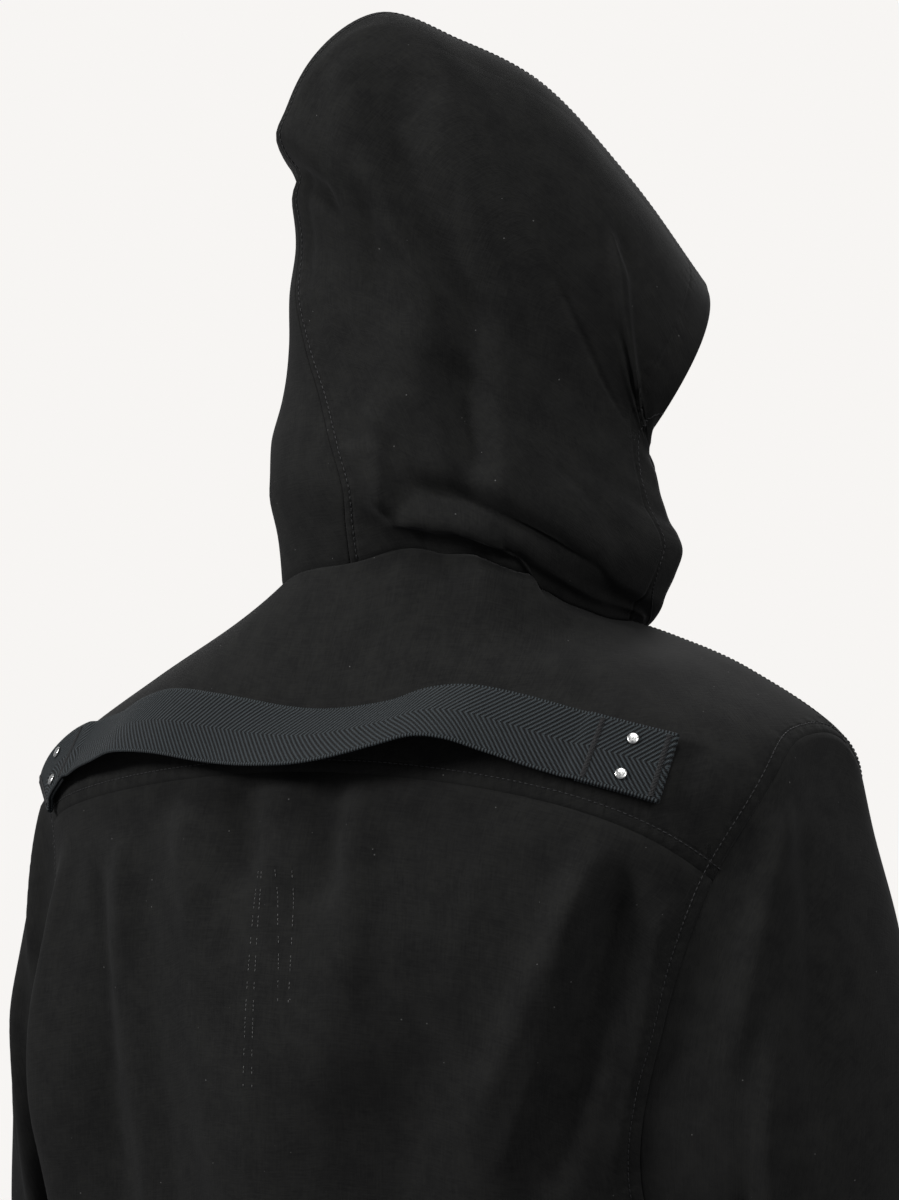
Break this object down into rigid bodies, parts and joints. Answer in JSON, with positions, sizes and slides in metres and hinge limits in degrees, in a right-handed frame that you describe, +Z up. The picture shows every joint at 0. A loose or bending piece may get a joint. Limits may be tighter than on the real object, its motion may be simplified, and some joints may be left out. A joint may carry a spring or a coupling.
{
  "type": "hooded overshirt",
  "caption": "Hooded overshirt in black cloth, worn with the hood up: curved back yoke, slack webbing strap with studs across the shoulders, long sleeves with cuffs, plain buttoned front.",
  "frame": {"origin": "the middle of the neck seam, where the hood joins the body", "axes": "+Z up, the front faces -Y, the wearer's right side is -X"},
  "size_m": [0.6362, 0.3561, 1.0435],
  "materials": {
    "black_cloth": "matt",
    "black_webbing": "matt",
    "silver_metal": "polished",
    "black_horn": "satin"
  },
  "bodies": {
    "root": {"back_panel": "black_cloth", "back_strap": "black_webbing", "back_yoke": "black_cloth", "button_1": "black_horn", "button_2": "black_horn", "button_3": "black_horn", "button_4": "black_horn", "button_5": "black_horn", "button_6": "black_horn", "button_7": "black_horn", "button_band": "black_cloth", "cuff_button_left": "black_horn", "cuff_button_right": "black_horn", "cuff_left": "black_cloth", "cuff_right": "black_cloth", "front_left": "black_cloth", "front_right": "black_cloth", "hood_left": "black_cloth", "hood_right": "black_cloth", "sleeve_left": "black_cloth", "sleeve_right": "black_cloth", "stud_left_lower": "silver_metal", "stud_left_upper": "silver_metal", "stud_right_lower": "silver_metal", "stud_right_upper": "silver_metal"}
  },
  "joints": []
}
